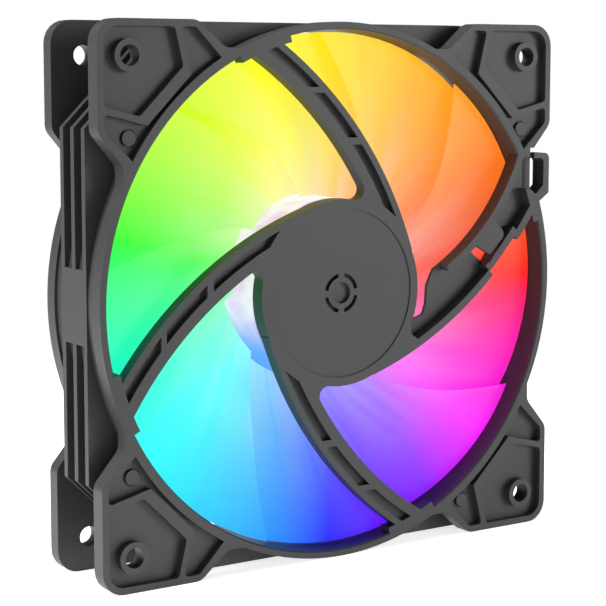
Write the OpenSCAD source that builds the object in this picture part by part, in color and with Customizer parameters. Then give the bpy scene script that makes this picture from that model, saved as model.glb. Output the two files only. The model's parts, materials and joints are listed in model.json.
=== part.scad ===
// A 120 mm computer case fan with a translucent lit impeller.
// X runs to the right and Z up as seen from the exhaust side, and Y runs along
// the rotor's axis from the exhaust face to the intake face. The origin is on
// the axis, halfway between the two faces.

/* [Frame] */
// Side of the square frame
frame_side = 120; // [119:0.5:121]
// Depth from the exhaust face to the intake face
frame_depth = 25; // [25:0.5:26]
// Distance between neighbouring screw holes
hole_pitch = 105; // [104.5:0.1:105.5]
// Diameter of the screw holes
hole_d = 4.4; // [4.2:0.1:4.6]
// Thickness of the exhaust flange
flange_t = 4; // [3.8:0.1:4.2]
// Thickness of the intake flange
back_flange_t = 3.5; // [3:0.1:4]
// Inner radius of the duct
duct_r = 58.4; // [58.3:0.1:58.5]
// Outer radius of the duct wall between the flanges
barrel_r = 59.4; // [59.3:0.1:59.5]
// Radius of the frame's four outer corners
corner_r = 5; // [4:0.5:6]
// Depth of the pockets in the corner plates
pocket_depth = 1.9; // [1.5:0.1:2.2]
// Thickness of the side ribs
rib_t = 1.6; // [1.4:0.1:1.8]

/* [Struts] */
// Thickness of the three slim struts
strut_t = 3.2; // [3:0.1:3.4]
// Depth of the recesses in the slim struts
strut_pocket_depth = 1.6; // [1:0.1:1.8]
// Thickness of the floor under the cable channel
channel_floor_t = 0.9; // [0.8:0.1:1.2]
// Thickness of the wide strut that carries the cable channel
wide_strut_t = 3.8; // [3.6:0.1:4]

/* [Rotor] */
// Outer radius of the hub and of the motor base
hub_r = 21; // [21:0.1:21.2]
// Number of blades
blade_count = 9; // [7:1:11]
// Gap between the blade tips and the duct
tip_gap = 0.6; // [0.5:0.1:1]
// Angle that one blade spans at its root
root_chord_angle = 56; // [50:1:58]
// Angle that one blade spans at its tip
tip_chord_angle = 74; // [68:1:75]
// Angle by which the tip of a blade lies ahead of its root
blade_sweep = 26; // [20:1:28]

/* [Motor] */
// Radius of the shaft
shaft_r = 1.5; // [1.4:0.05:1.6]
// Radial running clearance between shaft and sleeve bearing
running_gap = 0.03; // [0.02:0.01:0.06]
// Outer radius of the stator poles
stator_r = 15.6; // [15.4:0.1:15.7]
// Thickness of the stator's lamination stack
stack_t = 6; // [5:0.5:6]

/* [Hidden] */

eps = 0.02;
fine = 96;
half = frame_side / 2;
front = -frame_depth / 2;
back = frame_depth / 2;
hole_r = hole_d / 2;
hole_at = hole_pitch / 2;
ring_r = half;
through = 2;
overlap = 1;

// Corner plates
plate_rim = 1.5;
plate_step = 5.8;
plate_reach = 30.2;
plate_flat = 23.4;
plate_root = [54, 15];
boss_r = 3.45;
inner_wall_r = 60.5;
mark_r = 1.6;
mark_h = 0.6;
mark_groove_w = 0.35;
mark_groove_depth = 0.4;
mark_spots = [[52.2, 35.5], [35.5, 52.2], [52.2, 35.5], [52.2, 35.5]];
lip_chamfer = 0.3;
mouth_chamfer = 1;

// Side ribs
rib_spots = [-5, 0, 5];
rib_half = 59.7;
rib_corner_reach = 68.7;
bridge_half = 8;

// Slim struts: each is a curved band about the same centre
band_centre = [-66.4, -19.1];
band_outer = norm(band_centre) + hub_r;
band_inner = band_outer - 6.1;
band_angle = atan2(band_centre.y, band_centre.x) + 180;
slot_outer = band_outer - 1.5;
slot_inner = slot_outer - 2.1;
slot_near = 22;
slot_far = 57;
bridge_spots = [[44.5, 1.3], [33, 1.6]];
strut_start = 3;
strut_root_r = hub_r - 0.4;
strut_reach = ring_r - 0.8;
root_fillet = 2.2;
root_tail_angle = 14;
root_centre_r = hub_r + root_fillet;
root_centre_angle = band_angle + 180
    - triangle_angle(root_centre_r, norm(band_centre), band_inner - root_fillet);
land_r = 57;
land_from = 103.4;
land_to = 116.6;

// Motor base
base_floor_t = 2.2;
base_wall_r = hub_r - 0.8;
base_wall_top = front + 3.9;
base_floor = front + base_floor_t;
label_r = 19;
label_depth = 0.3;
vent_r = 4;
vent_w = 0.9;
vent_depth = 1.2;
vent_from = 11;
vent_to = 79;
dimple_r = 2.4;
dimple_depth = 1;

// Wide strut with the cable channel
wide_centre = [band_centre.y, -band_centre.x];
wide_rim = 1.8;
upper_centre = [4.1, 46.9];
upper_r = 49.5;
upper_rim_from = -58.5;
jog_from = -46.3;
jog_to = -39.3;
jog_inset = 1.4;
channel_floor = front + wide_strut_t - channel_floor_t;
wide_outline = [
    [0, -30], [10, -12], [19.4, -8.6], [24.8, -7], [25.6, -4.6], [25.9, -0.4], [27, 2],
    [31, 9], [44, 23], [50.2, 30.4], [60, 31], [62, 10], [30, -30]
];
wide_outline_r = [0, 0, 0, 1.2, 1, 1, 0, 0, 0, 0, 0, 0, 0];
channel_outline = [
    [19.2, -4], [19.2, -10.8], [21.6, -12.4], [30, -14], [62, 8], [62, 15.5], [54.3, 21.3],
    [54.3, 28.8], [30, 28.8], [20, 8]
];
channel_outline_r = [0, 1.7, 1.2, 0, 0, 0, 0, 0, 0, 0];
mouth_outline = [[50, 21.3], [54.3, 21.3], [54.3, 28.8], [49, 28.8]];
tab_outline = [[35.2, 10.2], [42.2, 6.2], [46.9, 10.9], [41.6, 16], [38, 13]];
tab_outline_r = [0, 0.5, 1.6, 0, 0];
tab_t = 1.2;
tab_hole = [[38.2, 7], [42.1, 4.2], [45.6, 8.9], [42.3, 11.6]];
wire_notch_angle = -27;
wire_notch_l = 5;
wire_notch_w = 4.4;
wire_notch_skin = 1.2;

// Cable hook
hook_outline = [[50, 27], [54.2, 29.8], [60, 29.7], [60, 20.2], [57, 18.1], [54, 14], [50, 20]];
hook_outline_r = [0, 0, 1.4, 0.6, 0, 0, 0];
hook_window = [[54.1, 28.5], [58.3, 28.5], [58.3, 22], [56, 19.9], [54.1, 21.4]];
hook_window_r = [0, 1, 0.5, 0.4, 0];
hook_gap_w = 1.3;

// Bearing stack
tube_r = 5;
sleeve_r = 4;
tube_top = 5;
tube_flange_r = 6.5;
tube_flange_t = 0.8;
pad_t = 0.8;
sleeve_low = -7.5;
sleeve_top = 4;
bore_chamfer = 0.4;
edge_chamfer = 0.3;
oil_ring_low = 4.3;
oil_ring_gap = 0.35;
oil_ring_recess = 0.1;
clip_t = 0.4;
clip_low = -8.6;
clip_r = 2.6;
clip_slot_w = 1.4;
groove_r = 1.1;
groove_w = 0.5;
groove_slack = 0.05;
tip_taper = 0.5;

// Stator
stack_low = -3.5;
stack_top = stack_low + stack_t;
hub_ring_r = 7.5;
arm_w = 5;
shoe_t = 1.8;
shoe_gap_angle = 22;
insulator_t = 0.8;
insulator_wall = 0.7;
wall_in = hub_ring_r - 0.4;
insulator_side = 0.3;
wall_half_angle = 28;
coil_build = 1.7;
coil_in = 8.6;
coil_out = 13;
coil_slack = 0.1;
coil_lip = 0.15;
pin_angles = [45, 135, 225];
pin_at = hub_ring_r - 0.5;
pin_r = 0.35;
pin_hole_r = 0.45;
pin_tail = 0.3;

// Boards
board_t = 1;
board_r = 17;
board_bore = 5.2;
board_low = base_floor + tube_flange_t;
board_top = board_low + board_t;
light_in = 17.4;
light_out = 20;
light_top = base_floor + board_t;
led_count = 8;
led_side = 2;
led_t = 0.8;
led_at = 18.75;

// Parts on the driver board: radius and angle, then radial size, width and height
chip_place = [15.4, 0];
chip_size = [2.6, 4.6, 1.2];
capacitor_place = [14.6, 62];
capacitor_size = [1.25, 2, 1.25];
diode_place = [14.4, -52];
diode_size = [1.6, 2.7, 1.1];
resistor_places = [[14.8, 112], [14.8, 124]];
resistor_size = [0.8, 1.6, 0.45];

// Rotor
blade_tip_r = duct_r - tip_gap;
hub_low = -7.8;
hub_wall = 1.6;
hub_bore = hub_r - hub_wall;
yoke_t = 0.8;
yoke_low = -6.4;
yoke_top = 7.2;
magnet_r = hub_bore - yoke_t;
magnet_bore = 16.2;
magnet_low = -6;
magnet_top = 4;
bush_r = 3.2;
bush_low = 5.7;
bush_top = 8.4;
hub_top = 9.5;
hub_round = 4;
hub_crown = 0.3;

// Blades, from the leading edge on the intake side to the trailing edge
blade_root_r = hub_r - 0.8;
radial_steps = 9;
chord_steps = 9;
blade_start = 30;
lead_y = 6.8;
lead_drop = 5.5;
trail_root_y = 0.4;
trail_drop = 8;
trail_reach = 0.6;
root_camber = 0.35;
tip_camber = -1;
root_half_t = 0.95;
tip_half_t = 0.6;
edge_share = 0.3;
sweep_curve = 0.4;
chord_swell = 6;

// Angle opposite side c in a triangle with sides a, b and c
function triangle_angle(a, b, c) = acos((a * a + b * b - c * c) / (2 * a * b));
function unit(v) = v / norm(v);
function polar(r, a) = r * [cos(a), sin(a)];
function half_turn(a) = a > 180 ? a - 360 : a < -180 ? a + 360 : a;

// Points of the arc that rounds the corner q between p and s
function fillet(p, q, s, r, n = 6) =
    let (
        u = unit(p - q),
        v = unit(s - q),
        h = acos(u * v) / 2,
        c = q + unit(u + v) * r / sin(h),
        from = q + u * r / tan(h) - c,
        to = q + v * r / tan(h) - c,
        start = atan2(from.y, from.x),
        sweep = half_turn(atan2(to.y, to.x) - start)
    )
    [for (i = [0 : n]) c + polar(r, start + sweep * i / n)];

function rounded(points, radii) =
    let (n = len(points))
    [for (i = [0 : n - 1])
        each radii[i] > 0
            ? fillet(points[(i + n - 1) % n], points[i], points[(i + 1) % n], radii[i])
            : [points[i]]];

// Blade section: t runs from root to tip, s from leading to trailing edge
function blade_r(t) = blade_root_r + (blade_tip_r - blade_root_r) * t;
function chord_angle(t) =
    root_chord_angle + (tip_chord_angle - root_chord_angle) * t + chord_swell * t * (1 - t);
function blade_angle(t, s) =
    blade_sweep * ((1 + sweep_curve) * t - sweep_curve * t * t) + chord_angle(t) * (s - 0.5);
function trail_y(t) = trail_root_y - trail_drop * sin(90 * min(1, t / trail_reach));
function blade_y(t, s) =
    let (lead = lead_y - lead_drop * t, camber = root_camber + (tip_camber - root_camber) * t)
    lead + (trail_y(t) - lead) * ((1 - camber) * s + camber * s * s);
function half_t(t, s) =
    (root_half_t + (tip_half_t - root_half_t) * t)
    * (edge_share + (1 - edge_share) * sqrt(sin(180 * s)));
function blade_point(t, s, side) =
    let (p = polar(blade_r(t), blade_angle(t, s)))
    [p.x, blade_y(t, s) + side * half_t(t, s), p.y];
function blade_ring(t) = [
    for (j = [0 : chord_steps]) blade_point(t, j / chord_steps, 1),
    for (j = [chord_steps : -1 : 0]) blade_point(t, j / chord_steps, -1)
];

// A flat outline drawn in X and Z, made solid from y_low to y_high
module plate(y_low, y_high) {
    translate([0, y_high, 0])
        rotate([90, 0, 0])
            linear_extrude(y_high - y_low)
                children();
}

// A profile of radius and Y, turned about the rotor's axis
module turned() {
    rotate([-90, 0, 0])
        rotate_extrude($fn = fine)
            children();
}

module disc(r, y_low, y_high, bore = 0) {
    plate(y_low, y_high)
        difference() {
            circle(r, $fn = fine);
            if (bore > 0)
                circle(bore, $fn = fine);
        }
}

// A block at a radius and an angle in the fan's plane
module block(r, angle, size, y_low, y_high) {
    plate(y_low, y_high)
        rotate(angle)
            translate([r, 0])
                square(size, center = true);
}

module quarter_turns() {
    for (a = [0 : 90 : 270])
        rotate(a)
            children();
}

module sector(r, from, to) {
    polygon(concat([[0, 0]], [for (i = [0 : 4]) polar(r, from + (to - from) * i / 4)]));
}

// Frame ------------------------------------------------------------------

module corner_outline() {
    low = half - plate_reach;
    flat = half - plate_flat;
    polygon(rounded(
        [[20, 20], plate_root, [half - plate_step, low], [half, flat], [half, half],
            [flat, half], [low, half - plate_step], [plate_root.y, plate_root.x]],
        [0, 0, 3, 3.5, corner_r, 3.5, 3, 0]));
}

module flange_outline() {
    circle(ring_r, $fn = fine);
    quarter_turns()
        corner_outline();
}

module main_pocket() {
    side = half - plate_rim;
    polygon(rounded(
        [[side, side], [42, side], [40, 50.3], [50.3, 40], [side, 42]],
        [3.5, 1, 1, 1, 1]));
}

module outer_pocket() {
    side = half - plate_rim;
    difference() {
        polygon(rounded(
            [[30.4, 51.7], [36.9, side], [40.6, side], [38.1, 48.6], [48.6, 38.1], [side, 40.6],
                [side, 36.9], [51.7, 30.4], [35, 35]],
            [0.8, 1.5, 0.8, 0, 0, 0.8, 1.5, 0.8, 0]));
        circle(inner_wall_r, $fn = fine);
    }
}

module rib_outline() {
    intersection() {
        square(2 * rib_half, center = true);
        rotate(45)
            square(2 * rib_corner_reach, center = true);
    }
}

module hull_of_frame() {
    plate(front, front + flange_t)
        flange_outline();
    plate(back - back_flange_t, back)
        flange_outline();
    disc(barrel_r, front + overlap, back - overlap);
    for (y = rib_spots)
        plate(y - rib_t / 2, y + rib_t / 2)
            rib_outline();
    plate(rib_spots[0], rib_spots[2])
        quarter_turns()
            translate([rib_half - 5, -bridge_half])
                square([5, 2 * bridge_half]);
}

module duct_bore() {
    turned()
        polygon([
            [0, front - through], [duct_r + lip_chamfer, front - through],
            [duct_r + lip_chamfer, front], [duct_r, front + lip_chamfer],
            [duct_r, back - mouth_chamfer], [duct_r + mouth_chamfer, back],
            [duct_r + mouth_chamfer, back + through], [0, back + through]
        ]);
}

module corner_pockets() {
    for (i = [0 : 3]) {
        difference() {
            plate(front - through, front + pocket_depth)
                rotate(90 * i)
                    difference() {
                        union() {
                            main_pocket();
                            outer_pocket();
                        }
                        translate([hole_at, hole_at])
                            circle(boss_r, $fn = fine);
                    }
            plate(front + pocket_depth - mark_h, front + pocket_depth + eps)
                rotate(90 * i)
                    translate(mark_spots[i])
                        circle(mark_r, $fn = fine);
        }
        plate(front + pocket_depth - mark_h / 2, front + pocket_depth + mark_groove_depth)
            rotate(90 * i)
                translate(mark_spots[i])
                    difference() {
                        circle(mark_r + mark_groove_w, $fn = fine);
                        circle(mark_r, $fn = fine);
                    }
    }
}

module screw_holes() {
    plate(front - through, back + through)
        quarter_turns()
            translate([hole_at, hole_at])
                circle(hole_r, $fn = fine);
}

// The side of the fan's plane that a band runs into from where it leaves the hub
module band_side() {
    rotate(band_angle)
        translate([-ring_r, strut_start])
            square([2 * ring_r, ring_r]);
}

module slim_strut_outline() {
    tail_angle = root_centre_angle - root_tail_angle;
    difference() {
        intersection() {
            translate(band_centre)
                circle(band_outer, $fn = fine);
            circle(strut_reach, $fn = fine);
            band_side();
        }
        translate(band_centre)
            circle(band_inner, $fn = fine);
        circle(strut_root_r, $fn = fine);
    }
    difference() {
        polygon([
            polar(root_centre_r, root_centre_angle),
            polar(hub_r, root_centre_angle),
            polar(hub_r - 0.2, tail_angle),
            polar(hub_r + 1, tail_angle - 3),
            band_centre + unit(polar(root_centre_r, root_centre_angle) - band_centre) * band_inner
        ]);
        translate(polar(root_centre_r, root_centre_angle))
            circle(root_fillet, $fn = fine);
        circle(strut_root_r, $fn = fine);
    }
}

module slim_strut_slots() {
    difference() {
        intersection() {
            translate(band_centre)
                circle(slot_outer, $fn = fine);
            circle(slot_far, $fn = fine);
            band_side();
        }
        translate(band_centre)
            circle(slot_inner, $fn = fine);
        circle(slot_near, $fn = fine);
        for (b = bridge_spots)
            translate([-half, b[0]])
                square([2 * half, b[1]]);
    }
}

module slim_struts() {
    difference() {
        plate(front, front + strut_t)
            for (a = [0, 90, 180])
                rotate(a)
                    slim_strut_outline();
        plate(front - through, front + strut_pocket_depth)
            for (a = [0, 90, 180])
                rotate(a)
                    slim_strut_slots();
    }
}

// Short thickened stretches of the duct's lip at the strut roots
module strut_lands() {
    plate(front, front + strut_t)
        difference() {
            intersection() {
                circle(strut_reach, $fn = fine);
                quarter_turns()
                    sector(2 * half, land_from, land_to);
            }
            circle(land_r, $fn = fine);
        }
}

module wide_strut_outline() {
    difference() {
        intersection() {
            polygon(rounded(wide_outline, wide_outline_r));
            translate(wide_centre)
                circle(band_outer, $fn = fine);
            circle(strut_reach, $fn = fine);
            rotate(270)
                band_side();
        }
        translate(upper_centre)
            circle(upper_r, $fn = fine);
        circle(strut_root_r, $fn = fine);
        translate(wide_centre)
            difference() {
                sector(2 * half, jog_from, jog_to);
                circle(band_outer - jog_inset, $fn = fine);
            }
    }
}

module channel_cut() {
    difference() {
        intersection() {
            polygon(rounded(channel_outline, channel_outline_r));
            translate(wide_centre)
                circle(band_outer - wide_rim, $fn = fine);
        }
        translate(upper_centre) {
            intersection() {
                circle(upper_r + wide_rim, $fn = fine);
                sector(2 * half, upper_rim_from, 0);
            }
            translate(polar(upper_r + wide_rim / 2, upper_rim_from))
                circle(wide_rim / 2, $fn = fine);
        }
        translate(wide_centre)
            difference() {
                sector(2 * half, jog_from, jog_to + 1);
                circle(band_outer - wide_rim - jog_inset, $fn = fine);
            }
    }
}

module wide_strut() {
    difference() {
        plate(front, front + wide_strut_t)
            wide_strut_outline();
        plate(front - through, channel_floor)
            channel_cut();
        plate(front - through, front + flange_t + overlap)
            polygon(tab_hole);
    }
    plate(front, front + tab_t)
        difference() {
            polygon(rounded(tab_outline, tab_outline_r));
            translate(upper_centre)
                circle(upper_r + 0.5, $fn = fine);
        }
}

module motor_base() {
    turned()
        polygon([
            [0, front], [hub_r, front], [hub_r, base_wall_top], [base_wall_r, base_wall_top],
            [base_wall_r, base_floor], [0, base_floor]
        ]);
}

module base_marks() {
    disc(label_r, front - through, front + label_depth);
    disc(dimple_r, front - through, front + label_depth + dimple_depth);
    plate(front - through, front + label_depth + vent_depth)
        quarter_turns()
            difference() {
                intersection() {
                    circle(vent_r + vent_w / 2, $fn = fine);
                    sector(2 * vent_r, vent_from, vent_to);
                }
                circle(vent_r - vent_w / 2, $fn = fine);
            }
}

module frame() {
    color("#3c3d3f")
        difference() {
            union() {
                difference() {
                    union() {
                        hull_of_frame();
                        plate(front, front + flange_t)
                            polygon(rounded(hook_outline, hook_outline_r));
                    }
                    duct_bore();
                    corner_pockets();
                }
                strut_lands();
                slim_struts();
                wide_strut();
                motor_base();
            }
            screw_holes();
            base_marks();
            plate(front - through, channel_floor)
                difference() {
                    polygon(mouth_outline);
                    translate(upper_centre)
                        circle(upper_r + wide_rim, $fn = fine);
                }
            plate(front - through, front + flange_t + overlap) {
                polygon(rounded(hook_window, hook_window_r));
                translate([hook_window[0].x, hook_window[0].y - 0.5])
                    square([hook_gap_w, 3]);
            }
            block(hub_r - 1, wire_notch_angle, [wire_notch_l, wire_notch_w],
                front + wire_notch_skin, base_wall_top + eps);
        }
}

// Bearing ----------------------------------------------------------------

module bearing_tube() {
    color("#b08d4a")
        turned()
            polygon([
                [sleeve_r, base_floor], [tube_flange_r, base_floor], [tube_flange_r, board_low],
                [tube_r, board_low], [tube_r, tube_top], [sleeve_r, tube_top]
            ]);
}

module sleeve_bearing() {
    bore = shaft_r + running_gap;
    color("#a9824f")
        turned()
            polygon([
                [bore, sleeve_low + bore_chamfer], [bore + bore_chamfer, sleeve_low],
                [sleeve_r - edge_chamfer, sleeve_low], [sleeve_r, sleeve_low + edge_chamfer],
                [sleeve_r, sleeve_top - edge_chamfer], [sleeve_r - edge_chamfer, sleeve_top],
                [bore + bore_chamfer, sleeve_top], [bore, sleeve_top - bore_chamfer]
            ]);
}

module thrust_pad() {
    color("#e9e6da")
        disc(sleeve_r - 0.4, base_floor, base_floor + pad_t);
}

module oil_ring() {
    color("#d9d4c3")
        disc(sleeve_r, oil_ring_low, tube_top - oil_ring_recess, shaft_r + oil_ring_gap);
}

// Stator -----------------------------------------------------------------

module pole_outline(arm, shoe) {
    difference() {
        union() {
            circle(hub_ring_r, $fn = fine);
            quarter_turns()
                translate([0, -arm / 2])
                    square([stator_r - shoe / 2, arm]);
            difference() {
                circle(stator_r, $fn = fine);
                circle(stator_r - shoe, $fn = fine);
                quarter_turns()
                    sector(2 * stator_r, 45 - shoe_gap_angle / 2, 45 + shoe_gap_angle / 2);
            }
        }
        circle(tube_r, $fn = fine);
    }
}

module stator_core() {
    color("#8f9499")
        plate(stack_low, stack_top)
            pole_outline(arm_w, shoe_t);
}

// Insulating frame on one side of the core, with walls that hold the wire
module insulator(y_near, y_far, wall_end) {
    plate(min(y_near, y_far), max(y_near, y_far))
        pole_outline(arm_w + 2 * insulator_side, shoe_t);
    plate(min(y_far, wall_end), max(y_far, wall_end))
        for (r = [wall_in, stator_r - insulator_wall])
            difference() {
                intersection() {
                    circle(r + insulator_wall, $fn = fine);
                    quarter_turns()
                        sector(2 * stator_r, -wall_half_angle, wall_half_angle);
                }
                circle(r, $fn = fine);
            }
}

module insulator_lower() {
    color("#f0eee6")
        insulator(stack_low, stack_low - insulator_t, stack_low - insulator_t - coil_build);
}

module insulator_upper() {
    color("#f0eee6")
        insulator(stack_top, stack_top + insulator_t, stack_top + insulator_t + coil_build);
}

// One winding: a rounded box around the pole's arm with the arm left open
module coil(number) {
    inner_w = arm_w + 2 * (insulator_side + coil_slack);
    inner_h = stack_t + 2 * insulator_t;
    middle = (stack_low + stack_top) / 2;
    color("#b8692f")
        rotate([0, 90 * (number - 1), 0])
            translate([coil_in, middle, 0])
                rotate([90, 0, 90])
                    linear_extrude(coil_out - coil_in)
                        difference() {
                            winding_outline(
                                inner_h + 2 * (coil_build - coil_lip), inner_w + 2 * coil_build);
                            square([inner_h, inner_w], center = true);
                        }
}

module winding_outline(h, w) {
    r = coil_build;
    polygon(rounded(
        [[-h / 2, -w / 2], [h / 2, -w / 2], [h / 2, w / 2], [-h / 2, w / 2]],
        [r, r, r, r]));
}

module winding_pins() {
    color("#c9ccd0")
        for (a = pin_angles)
            plate(board_low - pin_tail, stack_low - insulator_t)
                translate(polar(pin_at, a))
                    circle(pin_r, $fn = fine);
}

// Boards -----------------------------------------------------------------

module driver_board() {
    color("#1f6b3a")
        difference() {
            disc(board_r, board_low, board_top, board_bore);
            plate(board_low - overlap, board_top + overlap)
                for (a = pin_angles)
                    translate(polar(pin_at, a))
                        circle(pin_hole_r, $fn = fine);
        }
}

module board_part(place, size) {
    block(place[0], place[1], [size.x, size.y], board_top, board_top + size.z);
}

module driver_chip() {
    color("#202124")
        board_part(chip_place, chip_size);
}

module filter_capacitor() {
    color("#b79a6b")
        board_part(capacitor_place, capacitor_size);
}

module protection_diode() {
    color("#26272a")
        board_part(diode_place, diode_size);
}

module chip_resistors() {
    color("#17181a")
        for (place = resistor_places)
            board_part(place, resistor_size);
}

module light_board() {
    color("#e8e9ea")
        disc(light_out, base_floor, light_top, light_in);
}

module led(number) {
    color("#fbf7d5")
        block(led_at, 360 / led_count * (number - 0.5), [led_side, led_side], light_top, light_top + led_t);
}

// Rotor ------------------------------------------------------------------

module blade() {
    ring = 2 * (chord_steps + 1);
    points = [for (i = [0 : radial_steps - 1]) each blade_ring(i / (radial_steps - 1))];
    last = (radial_steps - 1) * ring;
    polyhedron(
        points,
        [
            for (i = [0 : radial_steps - 2], j = [0 : ring - 1])
                let (a = i * ring + j, b = i * ring + (j + 1) % ring)
                each [[a, a + ring, b], [b, a + ring, b + ring]],
            for (j = [0 : chord_steps - 1])
                let (k = ring - 1 - j)
                each [
                    [j, j + 1, k], [j + 1, k - 1, k],
                    [last + j, last + k, last + j + 1], [last + j + 1, last + k, last + k - 1]
                ]
        ]);
}

module hub_shell() {
    arc_centre = [hub_r - hub_round, hub_top - hub_round];
    turned()
        polygon(concat(
            [[hub_bore, hub_low], [hub_r, hub_low]],
            [for (i = [0 : 8]) arc_centre + polar(hub_round, 90 * i / 8)],
            [[0, hub_top + hub_crown], [0, bush_top], [bush_r, bush_top],
                [bush_r, yoke_top], [hub_bore, yoke_top]]
        ));
}

module impeller() {
    color("#f4f4f8")
        union() {
            hub_shell();
            for (i = [0 : blade_count - 1])
                rotate([0, -blade_start - 360 / blade_count * i, 0])
                    blade();
        }
}

module rotor_yoke() {
    color("#a4a8ad")
        turned()
            polygon([
                [magnet_r, yoke_low], [hub_bore, yoke_low], [hub_bore, yoke_top], [bush_r, yoke_top],
                [bush_r, yoke_top - yoke_t], [magnet_r, yoke_top - yoke_t]
            ]);
}

module magnet_ring() {
    color("#3a3633")
        disc(magnet_r, magnet_low, magnet_top, magnet_bore);
}

module shaft() {
    tip = base_floor + pad_t + groove_slack;
    neck_low = clip_low - groove_slack;
    neck_top = neck_low + groove_w;
    color("#d4d8dc")
        turned()
            polygon([
                [0, tip], [shaft_r - tip_taper, tip], [shaft_r, tip + tip_taper], [shaft_r, neck_low],
                [groove_r, neck_low], [groove_r, neck_top], [shaft_r, neck_top],
                [shaft_r, bush_top], [0, bush_top]
            ]);
}

module shaft_bush() {
    color("#c6a24e")
        disc(bush_r, bush_low, bush_top, shaft_r);
}

module shaft_clip() {
    color("#eceff2")
        plate(clip_low, clip_low + clip_t)
            difference() {
                circle(clip_r, $fn = fine);
                circle(groove_r, $fn = fine);
                translate([0, -clip_slot_w / 2])
                    square([clip_r + overlap, clip_slot_w]);
            }
}

frame();
bearing_tube();
sleeve_bearing();
thrust_pad();
oil_ring();
stator_core();
insulator_lower();
insulator_upper();
coil(1);  // coil_1
coil(2);  // coil_2
coil(3);  // coil_3
coil(4);  // coil_4
winding_pins();
driver_board();
driver_chip();
filter_capacitor();
protection_diode();
chip_resistors();
light_board();
led(1);  // led_1
led(2);  // led_2
led(3);  // led_3
led(4);  // led_4
led(5);  // led_5
led(6);  // led_6
led(7);  // led_7
led(8);  // led_8
impeller();
rotor_yoke();
magnet_ring();
shaft();
shaft_bush();
shaft_clip();
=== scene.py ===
"""A 120 mm case fan with a lit impeller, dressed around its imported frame.

X runs to the right and Z up as seen from the exhaust side, and Y runs along the axis
towards the intake side. Positions are in metres; a name that ends in _mm is in
millimetres.
"""

import colorsys
import json
import logging
import math
from dataclasses import dataclass, field
from enum import Enum
from typing import Any, Optional, Sequence, Union

import bmesh
import bpy
from mathutils import Matrix, Vector

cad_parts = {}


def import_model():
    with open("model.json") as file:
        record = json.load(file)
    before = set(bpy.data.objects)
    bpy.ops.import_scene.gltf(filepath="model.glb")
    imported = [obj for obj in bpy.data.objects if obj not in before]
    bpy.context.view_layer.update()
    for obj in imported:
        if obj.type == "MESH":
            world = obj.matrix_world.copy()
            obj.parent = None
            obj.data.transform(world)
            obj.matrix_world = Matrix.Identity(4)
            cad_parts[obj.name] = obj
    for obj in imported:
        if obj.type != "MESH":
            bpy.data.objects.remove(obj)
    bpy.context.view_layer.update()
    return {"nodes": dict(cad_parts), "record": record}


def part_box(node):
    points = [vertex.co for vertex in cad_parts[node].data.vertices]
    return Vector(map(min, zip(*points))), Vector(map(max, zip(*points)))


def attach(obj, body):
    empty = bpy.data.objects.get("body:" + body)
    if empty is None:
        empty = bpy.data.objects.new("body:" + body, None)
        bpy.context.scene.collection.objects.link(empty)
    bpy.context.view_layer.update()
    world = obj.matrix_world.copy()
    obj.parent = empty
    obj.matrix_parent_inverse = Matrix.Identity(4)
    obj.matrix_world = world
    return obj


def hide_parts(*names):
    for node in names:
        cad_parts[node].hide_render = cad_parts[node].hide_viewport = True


MM = 0.001
FULL_TURN = 2 * math.pi
LOG = logging.getLogger("case_fan")

Colour = tuple[float, float, float]
Number = Union[float, "Signal"]
Point2 = tuple[float, float]
Point3 = tuple[float, float, float]

WHITE: Colour = (1.0, 1.0, 1.0)
BLACK: Colour = (0.0, 0.0, 0.0)


class Body(Enum):
    """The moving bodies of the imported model."""

    CHASSIS = "chassis"
    ROTOR = "rotor"


class Hue(Enum):
    """The colours of the lit wheel, as degrees round the colour circle."""

    RED = 0
    ORANGE = 25
    AMBER = 40
    YELLOW = 60
    GREEN = 120
    CYAN = 180
    BLUE = 240
    VIOLET = 270
    MAGENTA = 300


def linear(red: int, green: int, blue: int) -> Colour:
    """Turns a display colour of 0 to 255 into linear light.

    Args:
        red: Red, 0 to 255.
        green: Green, 0 to 255.
        blue: Blue, 0 to 255.

    Returns:
        The three linear values, 0 to 1.
    """

    def channel(value: int) -> float:
        """Returns one channel in linear light."""
        share = value / 255
        return share / 12.92 if share <= 0.04045 else ((share + 0.055) / 1.055) ** 2.4

    return channel(red), channel(green), channel(blue)


def pure(hue: Hue, purity: float) -> Colour:
    """Returns a hue at full brightness in linear light.

    Args:
        hue: The hue.
        purity: 0 for white and 1 for the pure hue.
    """
    shares = colorsys.hsv_to_rgb(hue.value / 360, purity, 1.0)
    return linear(*(round(share * 255) for share in shares))


def opaque(colour: Colour) -> tuple[float, float, float, float]:
    """Returns the colour with a full alpha channel."""
    return (*colour, 1.0)


def scaled(colour: Colour, by: float) -> Colour:
    """Returns the colour made lighter or darker by a factor."""
    return colour[0] * by, colour[1] * by, colour[2] * by


# Shader building ----------------------------------------------------------------


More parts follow.
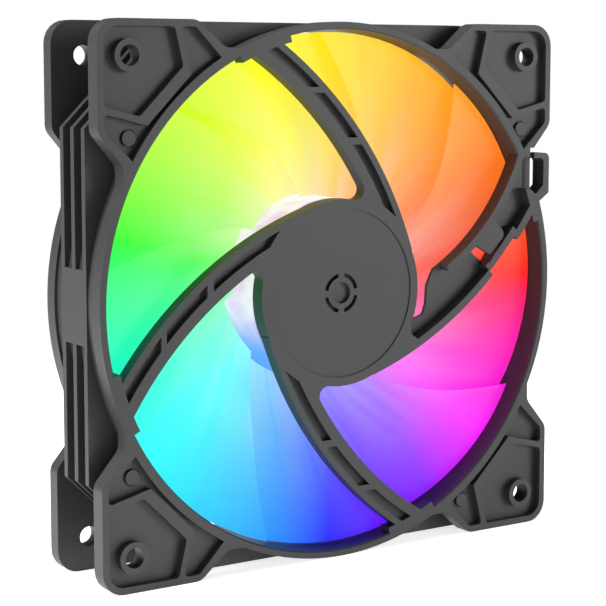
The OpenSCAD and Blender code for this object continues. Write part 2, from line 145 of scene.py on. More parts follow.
class Signal:
    """A shader socket that takes part in sums as if it were a number."""

    def __init__(self, recipe: "Recipe", socket: bpy.types.NodeSocket) -> None:
        """Keeps the socket.

        Args:
            recipe: The recipe whose node tree holds the socket.
            socket: An output socket.
        """
        self.recipe = recipe
        self.socket = socket

    def _maths(self, operation: str, *terms: Number) -> "Signal":
        """Returns the result of a Math node on the terms."""
        return self.recipe.add("ShaderNodeMath", {"operation": operation}, dict(enumerate(terms)))

    def __add__(self, other: Number) -> "Signal":
        """Returns self + other."""
        return self._maths("ADD", self, other)

    __radd__ = __add__

    def __sub__(self, other: Number) -> "Signal":
        """Returns self - other."""
        return self._maths("SUBTRACT", self, other)

    def __rsub__(self, other: Number) -> "Signal":
        """Returns other - self."""
        return self._maths("SUBTRACT", other, self)

    def __mul__(self, other: Number) -> "Signal":
        """Returns self * other."""
        return self._maths("MULTIPLY", self, other)

    __rmul__ = __mul__

    def __truediv__(self, other: Number) -> "Signal":
        """Returns self / other."""
        return self._maths("DIVIDE", self, other)

    def __rtruediv__(self, other: Number) -> "Signal":
        """Returns other / self."""
        return self._maths("DIVIDE", other, self)

    def __pow__(self, other: Number) -> "Signal":
        """Returns self ** other."""
        return self._maths("POWER", self, other)

    def __rpow__(self, other: Number) -> "Signal":
        """Returns other ** self."""
        return self._maths("POWER", other, self)

    def sine(self) -> "Signal":
        """Returns the sine of an angle in radians."""
        return self._maths("SINE", self)

    def root(self) -> "Signal":
        """Returns the square root."""
        return self._maths("SQRT", self)

    def fraction(self) -> "Signal":
        """Returns the part after the decimal point."""
        return self._maths("FRACT", self)

    def size(self) -> "Signal":
        """Returns the absolute value."""
        return self._maths("ABSOLUTE", self)

    def angle_from(self, other: "Signal") -> "Signal":
        """Returns the angle of (other, self) in radians, -pi to pi."""
        return self._maths("ARCTAN2", self, other)

    def between(self, low: float, high: float) -> "Signal":
        """Returns 0 at low and 1 at high, with a smooth ramp between them.

        Args:
            low: The value that gives 0.
            high: The value that gives 1.
        """
        return self.recipe.add(
            "ShaderNodeMapRange",
            {"interpolation_type": "SMOOTHSTEP"},
            {"Value": self, "From Min": low, "From Max": high},
        )


class Recipe:
    """The node tree of one finish, with a Principled shader at its end."""

    def __init__(self, name: str) -> None:
        """Starts an empty material.

        Args:
            name: The material's name.
        """
        self.material = bpy.data.materials.new(name)
        self.material.use_nodes = True
        self.tree = self.material.node_tree
        self.shader = self.tree.nodes["Principled BSDF"]

    def add(
        self,
        kind: str,
        settings: Optional[dict[str, Any]] = None,
        inputs: Optional[dict[Union[int, str], Any]] = None,
        output: Union[int, str] = 0,
    ) -> Signal:
        """Adds one node.

        Args:
            kind: The node's type.
            settings: Its properties, or a ramp's stops as (position, colour) pairs.
            inputs: Values or signals by socket.
            output: The socket to return.

        Returns:
            The chosen output.
        """
        node = self.tree.nodes.new(kind)
        for key, value in (settings or {}).items():
            if key == "stops":
                self._set_stops(node.color_ramp, value)
            else:
                setattr(node, key, value)
        for key, value in (inputs or {}).items():
            self.feed(node.inputs[key], value)
        return Signal(self, node.outputs[output])

    @staticmethod
    def _set_stops(ramp: bpy.types.ColorRamp, stops: Sequence[tuple[float, Colour]]) -> None:
        """Fills a ramp with stops."""
        while len(ramp.elements) < len(stops):
            ramp.elements.new(0.5)
        for element, (position, colour) in zip(ramp.elements, stops):
            element.position = position
            element.color = opaque(colour)

    def feed(self, socket: bpy.types.NodeSocket, value: Any) -> None:
        """Links a signal to a socket or sets its value."""
        if isinstance(value, Signal):
            self.tree.links.new(value.socket, socket)
        else:
            socket.default_value = value

    def shine(self, **sockets: Any) -> None:
        """Sets sockets of the Principled shader, with _ for each space in a name."""
        for name, value in sockets.items():
            self.feed(self.shader.inputs[name.replace("_", " ")], value)

    def place(self) -> Signal:
        """Returns the position on the object."""
        return self.add("ShaderNodeTexCoord", output="Object")

    def axes(self, place: Signal) -> tuple[Signal, Signal, Signal]:
        """Returns a vector's X, Y and Z."""
        first = self.add("ShaderNodeSeparateXYZ", inputs={0: place})
        outputs = first.socket.node.outputs
        return first, Signal(self, outputs[1]), Signal(self, outputs[2])

    def vector(self, x: Number, y: Number, z: Number) -> Signal:
        """Returns the vector of three numbers."""
        return self.add("ShaderNodeCombineXYZ", inputs={0: x, 1: y, 2: z})

    def noise(self, place: Signal, size_mm: float, detail: float = 2.0) -> Signal:
        """Returns soft noise of 0 to 1.

        Args:
            place: Where to read it, in metres.
            size_mm: The size of its patches.
            detail: How many finer layers it holds.
        """
        inputs = {"Vector": place, "Scale": 1 / (size_mm * MM), "Detail": detail, "Roughness": 0.55}
        return self.add("ShaderNodeTexNoise", inputs=inputs)

    def cells(self, place: Signal, size_mm: float) -> Signal:
        """Returns the distance to the nearest of scattered points, 0 to 1."""
        inputs = {"Vector": place, "Scale": 1 / (size_mm * MM)}
        return self.add("ShaderNodeTexVoronoi", inputs=inputs)

    def blend(self, share: Number, low: Any, high: Any) -> Signal:
        """Returns a colour between low at share 0 and high at share 1."""
        first, second = (opaque(c) if isinstance(c, tuple) else c for c in (low, high))
        return self.add(
            "ShaderNodeMix", {"data_type": "RGBA"}, {0: share, 6: first, 7: second}, output=2
        )

    def relief(self, height: Signal, depth_mm: float, strength: float = 1.0) -> Signal:
        """Returns the normal of a surface raised by a height of 0 to 1."""
        inputs = {"Height": height, "Distance": depth_mm * MM, "Strength": strength}
        return self.add("ShaderNodeBump", inputs=inputs, output="Normal")


# Finishes -----------------------------------------------------------------------


@dataclass(frozen=True)
class Finish:
    """What every finish has: a name and a base tone."""

    name: str
    tone: Colour

    def brew(self) -> bpy.types.Material:
        """Returns the finish as a material."""
        recipe = Recipe(self.name)
        self.fill(recipe)
        return recipe.material

    def fill(self, recipe: Recipe) -> None:
        """Builds the finish's nodes in the recipe."""
        raise NotImplementedError


@dataclass(frozen=True)
class Moulded(Finish):
    """Moulded plastic with a spark-eroded grain and faint flow marks."""

    roughness: float = 0.45
    grain_mm: float = 0.3
    grain_depth_mm: float = 0.012
    flow_mm: float = 18.0
    specular: float = 0.5

    def fill(self, recipe: Recipe) -> None:
        """Builds the finish's nodes in the recipe."""
        place = recipe.place()
        grain = recipe.noise(place, self.grain_mm, 3.0)
        pits = recipe.cells(place, self.grain_mm * 1.7)
        flow = recipe.noise(place, self.flow_mm, 1.0)
        recipe.shine(
            Base_Color=recipe.blend(
                flow * 0.6 + grain * 0.4, scaled(self.tone, 0.86), scaled(self.tone, 1.14)
            ),
            Roughness=self.roughness - 0.08 + flow * 0.08 + grain * 0.1,
            Normal=recipe.relief(grain * 0.7 + pits * 0.3, self.grain_depth_mm),
            Specular_IOR_Level=self.specular,
        )


@dataclass(frozen=True)
class Turned(Finish):
    """Metal turned about the fan's axis, with fine tool marks."""

    roughness: float = 0.3
    pitch_mm: float = 0.12
    pores: float = 0.0

    def fill(self, recipe: Recipe) -> None:
        """Builds the finish's nodes in the recipe."""
        place = recipe.place()
        x, y, z = recipe.axes(place)
        radius = (x * x + z * z).root()
        marks = recipe.noise(recipe.vector(radius, y, 0.0), self.pitch_mm, 2.0)
        stain = recipe.noise(place, 4.0, 2.0)
        speck = recipe.cells(place, 0.25).between(0.35, 0.1) * self.pores
        recipe.shine(
            Base_Color=recipe.blend(
                stain * 0.5 + marks * 0.3 + speck, scaled(self.tone, 1.05), scaled(self.tone, 0.7)
            ),
            Metallic=1.0,
            Roughness=self.roughness - 0.06 + marks * 0.14 + speck * 0.2,
            Normal=recipe.relief(marks - speck, 0.01),
        )


@dataclass(frozen=True)
class Laminated(Finish):
    """A stack of punched sheets, with a dark line between neighbours."""

    sheet_mm: float = 0.5

    def fill(self, recipe: Recipe) -> None:
        """Builds the finish's nodes in the recipe."""
        place = recipe.place()
        _, y, _ = recipe.axes(place)
        edge = ((y / (self.sheet_mm * MM)).fraction() - 0.5).size()
        joint = edge.between(0.36, 0.48)
        rust = recipe.noise(place, 1.6, 3.0)
        recipe.shine(
            Base_Color=recipe.blend(joint * 0.7 + rust * 0.25, self.tone, scaled(self.tone, 0.25)),
            Metallic=0.9,
            Roughness=0.34 + rust * 0.16 + joint * 0.2,
            Normal=recipe.relief(1 - joint, 0.05),
        )


@dataclass(frozen=True)
class Enamelled(Finish):
    """Copper wire under clear enamel."""

    def fill(self, recipe: Recipe) -> None:
        """Builds the finish's nodes in the recipe."""
        place = recipe.place()
        drift = recipe.noise(place, 1.2, 3.0)
        scuff = recipe.noise(place, 0.15, 1.0)
        recipe.shine(
            Base_Color=recipe.blend(drift, scaled(self.tone, 0.75), scaled(self.tone, 1.15)),
            Metallic=0.85,
            Roughness=0.22 + scuff * 0.12,
            Coat_Weight=0.6,
            Normal=recipe.relief(scuff, 0.004),
        )


@dataclass(frozen=True)
class Board(Finish):
    """A printed board under solder mask, with ring tracks and spokes."""

    track: Colour = (0.5, 0.5, 0.5)
    track_pitch_mm: float = 1.5

    def fill(self, recipe: Recipe) -> None:
        """Builds the finish's nodes in the recipe."""
        place = recipe.place()
        x, _, z = recipe.axes(place)
        radius = (x * x + z * z).root() / (self.track_pitch_mm * MM)
        turn = z.angle_from(x) * (9 / math.pi)
        ring = ((radius.fraction() - 0.5).size()).between(0.16, 0.1)
        spoke = ((turn.fraction() - 0.5).size()).between(0.08, 0.05)
        kept = recipe.noise(place, 3.0, 0.0).between(0.46, 0.5)
        copper = (ring * kept + spoke * (1 - kept)).between(0.2, 0.6)
        weave = recipe.noise(place, 0.4, 2.0)
        mask = recipe.blend(weave, scaled(self.tone, 0.85), scaled(self.tone, 1.1))
        recipe.shine(
            Base_Color=recipe.blend(copper, mask, self.track),
            Roughness=0.28 + weave * 0.12,
            Normal=recipe.relief(copper + weave * 0.1, 0.03),
        )


@dataclass(frozen=True)
class Sintered(Finish):
    """Pressed powder, such as a ferrite magnet or a fired chip part."""

    roughness: float = 0.6

    def fill(self, recipe: Recipe) -> None:
        """Builds the finish's nodes in the recipe."""
        place = recipe.place()
        powder = recipe.noise(place, 0.2, 4.0)
        fleck = recipe.cells(place, 0.35).between(0.3, 0.05)
        recipe.shine(
            Base_Color=recipe.blend(
                powder * 0.6 + fleck * 0.4, scaled(self.tone, 0.8), scaled(self.tone, 1.5)
            ),
            Roughness=self.roughness - 0.1 + powder * 0.2,
            Normal=recipe.relief(powder - fleck * 0.5, 0.02),
        )


@dataclass(frozen=True)
class LampResin(Finish):
    """A lamp's clear window over phosphor, in a white reflector."""

    window_r_mm: float = 0.78
    lamp_r_mm: float = 18.75
    lamp_count: int = 8
    glow: float = 1.2

    def fill(self, recipe: Recipe) -> None:
        """Builds the finish's nodes in the recipe."""
        place = recipe.place()
        x, _, z = recipe.axes(place)
        radius = (x * x + z * z).root()
        turn = z.angle_from(x) * (self.lamp_count / FULL_TURN) + self.lamp_count
        across = (turn.fraction() - 0.5) * (FULL_TURN / self.lamp_count) * radius
        away = radius - self.lamp_r_mm * MM
        distance = (across * across + away * away).root() / (self.window_r_mm * MM)
        window = distance.between(1.04, 0.96)
        core = distance.between(0.75, 0.0)
        dust = recipe.noise(place, 0.3, 2.0)
        recipe.shine(
            Base_Color=recipe.blend(window, scaled(self.tone, 0.85), (0.9, 0.72, 0.3)),
            Roughness=0.42 - window * 0.3 + dust * 0.08,
            Emission_Color=recipe.blend(window * (0.4 + core * 0.6), BLACK, (1.0, 0.95, 0.85)),
            Emission_Strength=self.glow,
            Normal=recipe.relief(dust * 0.2 - window, 0.05),
        )


@dataclass(frozen=True)
class LitPlastic(Finish):
    """Milky plastic lit from the hub, whose colour runs round the wheel as painted light.

    The colour is an emission that stands in for the lamps' light scattered in the plastic.
    The colours go round by angle, whiten towards the hub, and hold soft streaks
    that lean over with the blades; the whitening and the streaks are painted light too.
    """

    hub_r_mm: float = 21.0
    fade_end_mm: float = 58.2
    fade_power: float = 1.9
    purity: float = 0.9
    wheel: tuple[tuple[float, Hue], ...] = (
        (165, Hue.GREEN), (215, Hue.CYAN), (270, Hue.BLUE), (300, Hue.VIOLET), (320, Hue.MAGENTA),
        (360, Hue.RED), (390, Hue.ORANGE), (420, Hue.AMBER), (470, Hue.YELLOW),
    )
    white_at_hub: float = 0.31
    streak_pull: float = 0.35
    glow: float = 0.95
    hub_pale: Colour = (0.9, 0.84, 0.92)
    hub_blush: Colour = (0.78, 0.36, 0.88)
    # Painted light and shade: hub_low paints blue light on the hub's lower side, and the grey cap colour
    # is painted shade for the cap's middle.
    hub_cap_painted_shade: Colour = (0.42, 0.4, 0.46)
    hub_low: Colour = (0.0, 0.14, 0.78)

    def fill(self, recipe: Recipe) -> None:
        """Builds the finish's nodes in the recipe."""
        place = recipe.place()
        x, y, z = recipe.axes(place)
        radius_mm = (x * x + z * z).root() / MM
        angle = z.angle_from(x)
        streak = self._streaks(recipe, angle, radius_mm)
        disc = self._disc(recipe, angle, radius_mm, streak)
        hub = self._hub(recipe, place, radius_mm, y / MM, z / MM)
        on_hub = radius_mm.between(self.hub_r_mm + 0.3, self.hub_r_mm - 0.1)
        colour = recipe.blend(on_hub, disc, hub)
        cloud = recipe.noise(place, 2.2, 3.0)
        fine = recipe.noise(place, 0.35, 1.0)
        # Painted light: the streaks make the glow a little brighter and dimmer in bands.
        painted_streak_glow = 1 - (streak - 0.5) * 0.1
        milk = 0.01 + cloud * 0.02 + on_hub * 0.09
        # Painted light: the emission stands in for the lamps' light scattered in the plastic, and the
        # base colour holds a small share of the same painted colour.
        recipe.shine(
            Base_Color=recipe.blend(milk, recipe.blend(0.94, colour, BLACK), self.tone),
            Emission_Color=recipe.blend(painted_streak_glow, BLACK, colour),
            Emission_Strength=self.glow,
            Roughness=0.3 + cloud * 0.08,
            Normal=recipe.relief(cloud * 0.6 + fine * 0.4, 0.008),
            Specular_IOR_Level=0.14,
        )

    def _disc(self, recipe: Recipe, angle: Signal, radius_mm: Signal, streak: Signal) -> Signal:
        """Returns the blades' glow colour, painted light that goes round by angle and whitens towards
        the hub.
        """
        first = self.wheel[0][0]
        share = ((angle - math.radians(first)) / FULL_TURN).fraction()
        stops = [((turn - first) / 360, pure(hue, self.purity)) for turn, hue in self.wheel]
        stops.append((1.0, stops[0][1]))
        rainbow = recipe.add("ShaderNodeValToRGB", {"stops": stops}, {"Fac": share}, output="Color")
        # Painted light: the glow is painted paler towards the hub, more so along the streaks.
        left = (self.fade_end_mm - radius_mm) / (self.fade_end_mm - self.hub_r_mm)
        white = left ** self.fade_power * self.white_at_hub * (1 + (streak - 0.5) * self.streak_pull * 2)
        return recipe.blend(white, rainbow, WHITE)

    def _hub(
        self, recipe: Recipe, place: Signal, radius_mm: Signal, y_mm: Signal, z_mm: Signal
    ) -> Signal:
        """Returns the hub's glow colour: pale with a blush, painted blue light below, and painted shade
        that greys the middle of its cap.
        """
        side = y_mm.between(9.6, 3.0)
        blush = recipe.noise(place, 8.0, 1.0).between(0.4, 0.62) * (0.06 + side * 0.54)
        # Painted light: the lower side of the hub is painted blue.
        low = z_mm.between(-1.0, -15.0) * side
        pale = recipe.blend(blush, self.hub_pale, self.hub_blush)
        # Painted shade: the middle of the cap is painted greyer, where the steel yoke blocks the lamps'
        # light.
        cap = recipe.blend(radius_mm.between(20.0, 9.0) * (1 - side), pale, self.hub_cap_painted_shade)
        return recipe.blend(low, cap, self.hub_low)

    @staticmethod
    def _streaks(recipe: Recipe, angle: Signal, radius_mm: Signal) -> Signal:
        """Returns soft streaks of 0 to 1 that lean forward as they run outwards, for painted brighter
        and paler bands in the glow.
        """
        lean = (radius_mm - 27) / (radius_mm + 8) * 0.55
        turned = angle - lean
        across = recipe.vector(
            (turned + math.pi / 2).sine() * 6.2, turned.sine() * 6.2, radius_mm * 0.018
        )
        inputs = {"Vector": across, "Scale": 1.0, "Detail": 2.5, "Roughness": 0.6}
        raw = recipe.add("ShaderNodeTexNoise", inputs=inputs)
        return raw.between(0.32, 0.68)


FINISHES: dict[str, Finish] = {
    "frame_plastic": Moulded("frame_plastic", (0.034, 0.0344, 0.0358), roughness=0.44, specular=0.36),
    "lit_plastic": LitPlastic("lit_plastic", (0.9, 0.9, 0.92)),
    "brass": Turned("brass", (0.78, 0.56, 0.25)),
    "sintered_bronze": Turned("sintered_bronze", (0.5, 0.33, 0.17), roughness=0.45, pores=0.8),
    "nylon": Moulded("nylon", (0.78, 0.75, 0.66), roughness=0.4, grain_mm=0.5, flow_mm=4.0),
    "electrical_steel": Laminated("electrical_steel", (0.5, 0.52, 0.55)),
    "insulator_plastic": Moulded(
        "insulator_plastic", (0.8, 0.79, 0.74), roughness=0.5, grain_mm=0.4, flow_mm=5.0
    ),
    "enamelled_copper": Enamelled("enamelled_copper", (0.72, 0.3, 0.1)),
    "tinned_metal": Turned("tinned_metal", (0.75, 0.76, 0.78), roughness=0.28, pitch_mm=0.3),
    "green_board": Board("green_board", (0.02, 0.16, 0.06), track=(0.06, 0.32, 0.12)),
    "white_board": Board("white_board", (0.78, 0.79, 0.8), track=(0.9, 0.88, 0.8), track_pitch_mm=0.9),
    "black_epoxy": Sintered("black_epoxy", (0.02, 0.02, 0.022), roughness=0.5),
    "ceramic": Sintered("ceramic", (0.42, 0.3, 0.18), roughness=0.4),
    "lamp_resin": LampResin("lamp_resin", (0.9, 0.9, 0.88)),
    "yoke_steel": Turned("yoke_steel", (0.55, 0.57, 0.6), roughness=0.35, pitch_mm=0.2),
    "ferrite": Sintered("ferrite", (0.035, 0.031, 0.03)),
    "polished_steel": Turned("polished_steel", (0.75, 0.77, 0.8), roughness=0.12, pitch_mm=0.06),
}


class Wardrobe:
    """Makes each finish once and hands it out by its slot's name."""

    def __init__(self) -> None:
        """Starts with no finish made."""
        self._made: dict[str, bpy.types.Material] = {}

    def finish(self, slot: str) -> bpy.types.Material:
        """Returns the material of a slot."""
        if slot not in self._made:
            self._made[slot] = FINISHES[slot].brew()
        return self._made[slot]


# Mesh building ------------------------------------------------------------------


def from_shape(name: str, points: Sequence[Point3], faces: Sequence[Sequence[int]]) -> bpy.types.Object:
    """Makes a mesh object from points in millimetres.

    Args:
        name: The object's name.
        points: Its vertices.
        faces: Its faces by vertex number.

    Returns:
        The object, linked into the scene.
    """
    mesh = bpy.data.meshes.new(name)
    mesh.from_pydata([tuple(c * MM for c in p) for p in points], [], [tuple(f) for f in faces])
    tidy = bmesh.new()
    tidy.from_mesh(mesh)
    bmesh.ops.recalc_face_normals(tidy, faces=tidy.faces)
    tidy.to_mesh(mesh)
    tidy.free()
    made = bpy.data.objects.new(name, mesh)
    bpy.context.scene.collection.objects.link(made)
    return made


def loops_to_faces(starts: Sequence[int], length: int, closed: bool) -> list[tuple[int, int, int, int]]:
    """Joins neighbouring rings of points with four-sided faces.

    Args:
        starts: The first point of each ring.
        length: How many points a ring has.
        closed: Whether the last ring joins the first.

    Returns:
        The faces.
    """
    pairs = list(zip(starts, starts[1:])) + ([(starts[-1], starts[0])] if closed else [])
    return [
        (a + j, b + j, b + (j + 1) % length, a + (j + 1) % length)
        for a, b in pairs
        for j in range(length)
    ]


def smooth(piece: bpy.types.Object, degrees: float = 35.0) -> None:
    """Shades a piece smooth, apart from edges sharper than an angle."""
    piece.data.shade_smooth()
    piece.data.set_sharp_from_angle(angle=math.radians(degrees))


def hand_over(piece: bpy.types.Object, body: Body, slot: str, wardrobe: Wardrobe, *nodes: str) -> None:
    """Dresses a new piece and puts it in the place of CAD nodes.

    Args:
        piece: The new piece.
        body: The body that it rides on.
        slot: The record's material slot.
        wardrobe: Where its finish comes from.
        *nodes: The CAD nodes that it stands for.
    """
    piece.data.materials.append(wardrobe.finish(slot))
    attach(piece, body.value)
    if nodes:
        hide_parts(*nodes)
    LOG.info("%s: %d vertices, rides on %s", piece.name, len(piece.data.vertices), body.value)


# Sub-assemblies -----------------------------------------------------------------


@dataclass
class Carried:
    """CAD nodes that keep their shape and get a better finish and softer edges."""

    nodes: dict[str, bpy.types.Object]
    slots: dict[str, str]
    wardrobe: Wardrobe
    edge_mm: float = 0.06
    frame_edge_mm: float = 0.22
    sharp_degrees: float = 28.0

    def dress(self, name: str) -> None:
        """Gives a node its finish and rounds its edges.

        Args:
            name: The CAD node's name.
        """
        node = self.nodes[name]
        for slot in node.material_slots:
            slot.material = self.wardrobe.finish(self.slots[name])
        width = self.frame_edge_mm if name == "frame" else self.edge_mm
        self._soften(node, width)
        LOG.info("%s: carried over in %s", name, self.slots[name])

    def _soften(self, node: bpy.types.Object, width_mm: float) -> None:
        """Adds the modifiers that weld a node, clear its flat faces and round its edges."""
        weld = node.modifiers.new("weld", "WELD")
        weld.merge_threshold = 0.002 * MM
        flat = node.modifiers.new("flat_faces", "DECIMATE")
        flat.decimate_type = "DISSOLVE"
        flat.angle_limit = math.radians(0.4)
        edge = node.modifiers.new("soft_edge", "BEVEL")
        edge.width = width_mm * MM
        edge.segments = 2
        edge.limit_method = "ANGLE"
        edge.angle_limit = math.radians(self.sharp_degrees)
        edge.harden_normals = False
        normals = node.modifiers.new("even_normals", "WEIGHTED_NORMAL")
        normals.weight = 80


@dataclass
class Impeller:
    """The hub and blades, finer than in the CAD model; sizes in millimetres."""

    wardrobe: Wardrobe
    hub_r: float = 21.0
    bore_r: float = 19.4
    hub_low: float = -7.8
    hub_top: float = 9.5
    crown: float = 0.3
    shoulder_r: float = 4.0
    bush_r: float = 3.2
    bush_top: float = 8.4
    yoke_top: float = 7.2
    blade_count: int = 9
    root_r: float = 20.2
    tip_r: float = 57.8
    root_chord: float = 56.0
    tip_chord: float = 74.0
    chord_swell: float = 6.0
    sweep: float = 26.0
    sweep_curve: float = 0.4
    blade_start: float = 30.0
    lead_y: float = 6.8
    lead_drop: float = 5.5
    trail_y: float = 0.4
    trail_drop: float = 8.0
    trail_reach: float = 0.6
    root_camber: float = 0.35
    tip_camber: float = -1.0
    root_half: float = 0.95
    tip_half: float = 0.6
    edge_share: float = 0.3
    turn_steps: int = 144
    radial_steps: int = 30
    chord_steps: int = 26
    points: list[Point3] = field(default_factory=list)
    faces: list[tuple[int, ...]] = field(default_factory=list)

    def _hub_profile(self) -> list[Point2]:
        """Returns the hub's section as (radius, Y) from its lower inner corner."""
        steps = 10
        shoulder = [
            (
                self.hub_r - self.shoulder_r + self.shoulder_r * math.cos(math.pi / 2 * i / steps),
                self.hub_top - self.shoulder_r + self.shoulder_r * math.sin(math.pi / 2 * i / steps),
            )
            for i in range(steps + 1)
        ]
        rise = [(14.0, self.hub_top + self.crown * 0.28), (8.0, self.hub_top + self.crown * 0.7)]
        lip = 0.25
        return [
            (self.bore_r, self.hub_low + lip), (self.bore_r + lip, self.hub_low),
            (self.hub_r - lip, self.hub_low), (self.hub_r, self.hub_low + lip),
            *shoulder, *rise, (0.02, self.hub_top + self.crown), (0.02, self.bush_top),
            (self.bush_r, self.bush_top), (self.bush_r, self.yoke_top), (self.bore_r, self.yoke_top),
        ]

    def _add_hub(self) -> None:
        """Turns the hub's section about the axis."""
        profile = self._hub_profile()
        starts = []
        for i in range(self.turn_steps):
            angle = FULL_TURN * i / self.turn_steps
            starts.append(len(self.points))
            self.points += [(r * math.cos(angle), y, r * math.sin(angle)) for r, y in profile]
        self.faces += loops_to_faces(starts, len(profile), closed=True)

    def _blade_point(self, t: float, s: float, side: int, number: int) -> Point3:
        """Returns a point on a blade.

        Args:
            t: 0 at the root and 1 at the tip.
            s: 0 at the leading edge and 1 at the trailing edge.
            side: 1 on the intake face and -1 on the exhaust face.
            number: Which blade.
        """
        chord = self.root_chord + (self.tip_chord - self.root_chord) * t + self.chord_swell * t * (1 - t)
        lean = self.sweep * ((1 + self.sweep_curve) * t - self.sweep_curve * t * t)
        turn = self.blade_start + 360 / self.blade_count * number
        angle = math.radians(turn + lean + chord * (s - 0.5))
        radius = self.root_r + (self.tip_r - self.root_r) * t
        lead = self.lead_y - self.lead_drop * t
        camber = self.root_camber + (self.tip_camber - self.root_camber) * t
        trail = self.trail_y - self.trail_drop * math.sin(math.pi / 2 * min(1, t / self.trail_reach))
        middle = lead + (trail - lead) * ((1 - camber) * s + camber * s * s)
        half = self.root_half + (self.tip_half - self.root_half) * t
        half *= self.edge_share + (1 - self.edge_share) * math.sqrt(max(0, math.sin(math.pi * s)))
        return radius * math.cos(angle), middle + side * half, radius * math.sin(angle)

    def _add_blade(self, number: int) -> None:
        """Adds one closed blade, from inside the hub's wall to the tip."""
        steps = self.chord_steps
        shares = [(1 - math.cos(math.pi * j / steps)) / 2 for j in range(steps + 1)]
        starts = []
        for i in range(self.radial_steps + 1):
            t = i / self.radial_steps
            starts.append(len(self.points))
            self.points += [self._blade_point(t, s, 1, number) for s in shares]
            self.points += [self._blade_point(t, s, -1, number) for s in reversed(shares)]
        ring = 2 * len(shares)
        self.faces += loops_to_faces(starts, ring, closed=False)
        for start in (starts[0], starts[-1]):
            for j in range(steps):
                self.faces.append((start + j, start + j + 1, start + ring - 2 - j, start + ring - 1 - j))

    def build(self) -> bpy.types.Object:
        """Builds the impeller.

        Returns:
            The piece that stands for the CAD impeller.
        """
        self._add_hub()
        for number in range(self.blade_count):
            self._add_blade(number)
        piece = from_shape("lit_impeller", self.points, self.faces)
        smooth(piece)
        hand_over(piece, Body.ROTOR, "lit_plastic", self.wardrobe, "impeller")
        return piece


@dataclass
class Windings:
    """The four coils as turns of wire; sizes in millimetres."""

    wardrobe: Wardrobe
    inner_w: float = 5.8
    inner_h: float = 7.6
    build_side: float = 1.7
    build_face: float = 1.55
    start_r: float = 8.6
    end_r: float = 13.0
    middle_y: float = -0.5
    wire_r: float = 0.2
    corner_steps: int = 5
    wire_sides: int = 8

    def _loop(self, inset: float) -> list[Point2]:
        """Returns a rounded rectangle as (across, Y), inset from the coil's outside."""
        half_w = self.inner_w / 2 + self.build_side - inset
        half_h = self.inner_h / 2 + self.build_face - inset
        corner = max(0.2, self.build_face - inset)
        path = []
        for quarter, (sx, sy) in enumerate(((1, 1), (-1, 1), (-1, -1), (1, -1))):
            for i in range(self.corner_steps + 1):
                angle = math.radians(90 * (quarter + i / self.corner_steps))
                path.append(
                    (
                        sx * (half_w - corner) + corner * math.cos(angle),
                        self.middle_y + sy * (half_h - corner) + corner * math.sin(angle),
                    )
                )
        return path

    def build(self, number: int) -> bpy.types.Object:
        """Builds one coil.

        Args:
            number: The coil's number, 1 to 4.

        Returns:
            The piece that stands for that CAD coil.
        """
        points: list[Point3] = []
        faces: list[tuple[int, ...]] = []
        facing = Matrix.Rotation(math.radians(90 * (number - 1)), 3, "Y")
        turns = int((self.end_r - self.start_r) / (2 * self.wire_r))
        for layer in range(2):
            for turn in range(turns - layer):
                along = self.start_r + self.wire_r * (1 + 2 * turn + layer)
                path = self._loop(self.wire_r * (1 + 1.75 * layer))
                starts = []
                for i, (across, y) in enumerate(path):
                    before, after = path[i - 1], path[(i + 1) % len(path)]
                    out = Vector((after[1] - before[1], before[0] - after[0])).normalized()
                    starts.append(len(points))
                    for k in range(self.wire_sides):
                        angle = FULL_TURN * k / self.wire_sides
                        push = self.wire_r * math.cos(angle)
                        aside = along + self.wire_r * math.sin(angle)
                        spot = Vector((aside, y + out.y * push, across + out.x * push))
                        points.append(tuple(facing @ spot))
                faces += loops_to_faces(starts, self.wire_sides, closed=True)
        self._add_core(points, faces, facing)
        piece = from_shape(f"wound_coil_{number}", points, faces)
        smooth(piece, 50)
        hand_over(piece, Body.CHASSIS, "enamelled_copper", self.wardrobe, f"coil_{number}")
        return piece

    def _add_core(self, points: list[Point3], faces: list[tuple[int, ...]], facing: Matrix) -> None:
        """Adds the inner turns as one closed sleeve under the outer ones."""
        outside = self._loop(2.2 * self.wire_r)
        inside = [
            (
                max(-self.inner_w / 2, min(self.inner_w / 2, across)),
                self.middle_y + max(-self.inner_h / 2, min(self.inner_h / 2, y - self.middle_y)),
            )
            for across, y in outside
        ]
        near, far = self.start_r + 0.05, self.end_r - 0.05
        starts = []
        for (ox, oy), (ix, iy) in zip(outside, inside):
            starts.append(len(points))
            for along, across, y in ((near, ox, oy), (far, ox, oy), (far, ix, iy), (near, ix, iy)):
                points.append(tuple(facing @ Vector((along, y, across))))
        faces += loops_to_faces(starts, 4, closed=True)


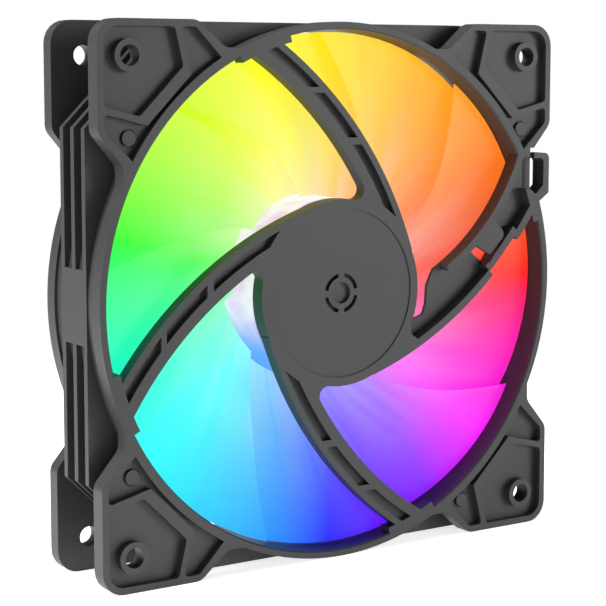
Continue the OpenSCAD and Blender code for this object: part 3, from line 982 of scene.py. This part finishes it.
@dataclass
class Studio:
    """The floor, the backdrop, the lights and the camera."""

    eye: Point3 = (-0.22571, -0.34234, 0.05117)
    ahead: Point3 = (0.55740, 0.82271, -0.11159)
    right: Point3 = (0.82801, -0.56070, 0.00213)
    lens: float = 107.34
    shift_x: float = -0.0510
    shift_y: float = -0.0627
    floor_fade: Point2 = (0.1, 0.34)

    def camera(self) -> None:
        """Adds the camera and makes it the scene's."""
        data = bpy.data.cameras.new("camera")
        data.sensor_width = 36.0
        data.lens = self.lens
        data.shift_x = self.shift_x
        data.shift_y = self.shift_y
        data.clip_start, data.clip_end = 0.01, 50.0
        ahead = Vector(self.ahead).normalized()
        right = Vector(self.right)
        right = (right - ahead * right.dot(ahead)).normalized()
        up = right.cross(ahead)
        camera = bpy.data.objects.new("camera", data)
        facing = Matrix((right, up, -ahead)).transposed().to_4x4()
        camera.matrix_world = Matrix.Translation(self.eye) @ facing
        bpy.context.scene.collection.objects.link(camera)
        bpy.context.scene.camera = camera

    def _lamp(self, name: str, place: Point3, aim: Point3, size: float, watts: float) -> None:
        """Adds a square soft light.

        Args:
            name: Its name.
            place: Where it hangs.
            aim: The point that it faces.
            size: Its side.
            watts: Its power.
        """
        data = bpy.data.lights.new(name, "AREA")
        data.size = size
        data.energy = watts
        lamp = bpy.data.objects.new(name, data)
        lamp.location = place
        lamp.rotation_mode = "QUATERNION"
        lamp.rotation_quaternion = (Vector(aim) - Vector(place)).to_track_quat("-Z", "Y")
        bpy.context.scene.collection.objects.link(lamp)

    def lights(self) -> None:
        """Adds the lights and the even light from all round."""
        self._lamp("key", (0.75, -0.95, 0.1), (0, 0, 0), 0.6, 7.8)
        self._lamp("left_fill", (-0.8, 0.2, 0.8), (0, 0, 0), 0.6, 24.0)
        self._lamp("top", (0.1, -0.1, 1.1), (0, 0, 0), 0.8, 3.0)
        world = bpy.data.worlds.new("studio")
        world.use_nodes = True
        world.node_tree.nodes["Background"].inputs["Color"].default_value = (1.0, 1.0, 1.0, 1.0)
        world.node_tree.nodes["Background"].inputs["Strength"].default_value = 0.14
        bpy.context.scene.world = world

    def _fading_floor(self) -> bpy.types.Material:
        """Returns a pale floor that takes shadows near the fan and fades to white away from it."""
        recipe = Recipe("pale_floor")
        x, y, _ = recipe.axes(recipe.place())
        away = (x * x + y * y).root().between(*self.floor_fade)
        recipe.shine(
            Base_Color=recipe.blend(away, (0.8, 0.8, 0.8), BLACK),
            Roughness=0.9,
            Specular_IOR_Level=0.0,
            Emission_Color=recipe.blend(away, (0.76, 0.76, 0.76), WHITE),
            Emission_Strength=1.0,
        )
        return recipe.material

    def _plain(self, name: str, tone: float, glow: float) -> bpy.types.Material:
        """Returns a plain pale material."""
        recipe = Recipe(name)
        recipe.shine(
            Base_Color=opaque((tone, tone, tone)),
            Roughness=0.9,
            Specular_IOR_Level=0.0,
            Emission_Color=(1.0, 1.0, 1.0, 1.0),
            Emission_Strength=glow,
        )
        return recipe.material

    def stage(self) -> None:
        """Adds the floor under the fan and the pale backdrop all round it."""
        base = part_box("frame")[0].z
        reach_mm = 5500.0
        sides = 64
        turns = [FULL_TURN * i / sides for i in range(sides)]
        rim = [(reach_mm * math.cos(a), reach_mm * math.sin(a), base / MM - 0.02) for a in turns]
        floor = from_shape("floor", rim, [range(sides)])
        floor.data.materials.append(self._fading_floor())
        backdrop = bpy.data.meshes.new("backdrop")
        shape = bmesh.new()
        bmesh.ops.create_icosphere(shape, subdivisions=4, radius=6.0)
        shape.to_mesh(backdrop)
        shape.free()
        dome = bpy.data.objects.new("backdrop", backdrop)
        bpy.context.scene.collection.objects.link(dome)
        dome.data.materials.append(self._plain("pale_backdrop", 0.0, 1.0))
        dome.visible_diffuse = False
        dome.visible_glossy = False
        dome.visible_transmission = False
        dome.visible_shadow = False

    def build(self) -> None:
        """Sets up the studio."""
        self.camera()
        self.lights()
        self.stage()
        bpy.context.scene.view_settings.view_transform = "Standard"
        LOG.info("studio: camera, lights, floor and backdrop")


def main() -> None:
    """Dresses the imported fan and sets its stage."""
    logging.basicConfig(level=logging.INFO, format="%(message)s")
    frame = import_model()
    slots = {s["node"]: s["material_slot"] for s in frame["record"]["subparts"]}
    wardrobe = Wardrobe()
    Studio().build()
    carried = Carried(frame["nodes"], slots, wardrobe)
    replaced = {"impeller", "coil_1", "coil_2", "coil_3", "coil_4"}
    for name in slots:
        if name not in replaced:
            carried.dress(name)
    Impeller(wardrobe).build()
    windings = Windings(wardrobe)
    for number in range(1, 5):
        windings.build(number)


if __name__ == "__main__":
    main()
